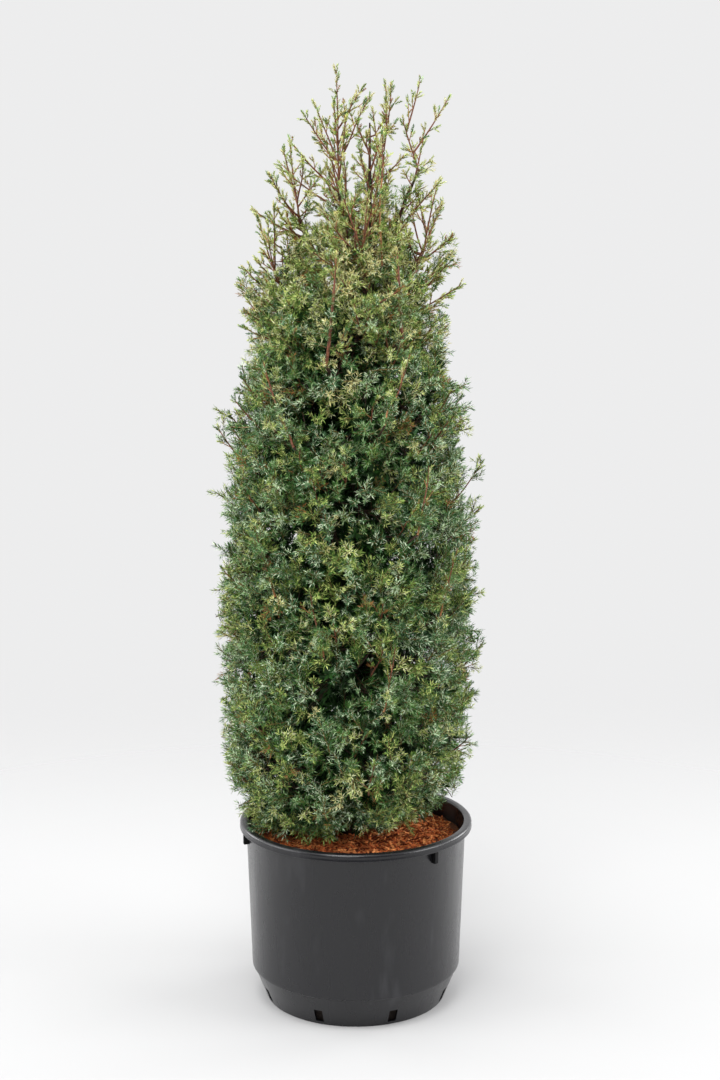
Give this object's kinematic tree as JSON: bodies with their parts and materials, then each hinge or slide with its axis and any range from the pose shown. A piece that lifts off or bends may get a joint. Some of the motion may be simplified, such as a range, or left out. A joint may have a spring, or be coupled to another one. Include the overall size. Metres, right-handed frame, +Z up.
{
  "type": "potted columnar conifer",
  "caption": "Columnar juniper with dense needle foliage on several upright leaders, growing in a round black nursery pot under bark mulch.",
  "frame": {"origin": "centre of the pot's flat underside", "axes": "+Z up along the pot's axis, -Y towards the front, which the picture shows, and +X to the picture's right"},
  "size_m": [0.3457, 0.3448, 1.2277],
  "materials": {
    "pot_plastic": "semi-matt black moulded plastic",
    "root_ball": "dark potting mix",
    "bark_mulch": "dry shredded bark",
    "bark": "red-brown shredding bark",
    "foliage": "short needles in sprays"
  },
  "bodies": {
    "root": {"bark_mulch": "bark_mulch", "bough_foot_1": "bark", "bough_foot_2": "bark", "bough_foot_3": "bark", "bough_foot_4": "bark", "bough_foot_5": "bark", "bough_high_1": "bark", "bough_high_2": "bark", "bough_high_3": "bark", "bough_high_4": "bark", "bough_low_1": "bark", "bough_low_2": "bark", "bough_low_3": "bark", "bough_low_4": "bark", "bough_low_5": "bark", "bough_middle_1": "bark", "bough_middle_2": "bark", "bough_middle_3": "bark", "bough_middle_4": "bark", "bough_middle_5": "bark", "foliage_back": "foliage", "foliage_centre": "foliage", "foliage_far_left": "foliage", "foliage_foot_1": "foliage", "foliage_foot_2": "foliage", "foliage_foot_3": "foliage", "foliage_foot_4": "foliage", "foliage_foot_5": "foliage", "foliage_front": "foliage", "foliage_high_1": "foliage", "foliage_high_2": "foliage", "foliage_high_3": "foliage", "foliage_high_4": "foliage", "foliage_left_low": "foliage", "foliage_left_tall": "foliage", "foliage_low_1": "foliage", "foliage_low_2": "foliage", "foliage_low_3": "foliage", "foliage_low_4": "foliage", "foliage_low_5": "foliage", "foliage_middle_1": "foliage", "foliage_middle_2": "foliage", "foliage_middle_3": "foliage", "foliage_middle_4": "foliage", "foliage_middle_5": "foliage", "foliage_right_low": "foliage", "foliage_right_tall": "foliage", "leader_back": "bark", "leader_centre": "bark", "leader_far_left": "bark", "leader_front": "bark", "leader_left_low": "bark", "leader_left_tall": "bark", "leader_right_low": "bark", "leader_right_tall": "bark", "pot": "pot_plastic", "root_ball": "root_ball", "trunk": "bark"}
  },
  "joints": []
}
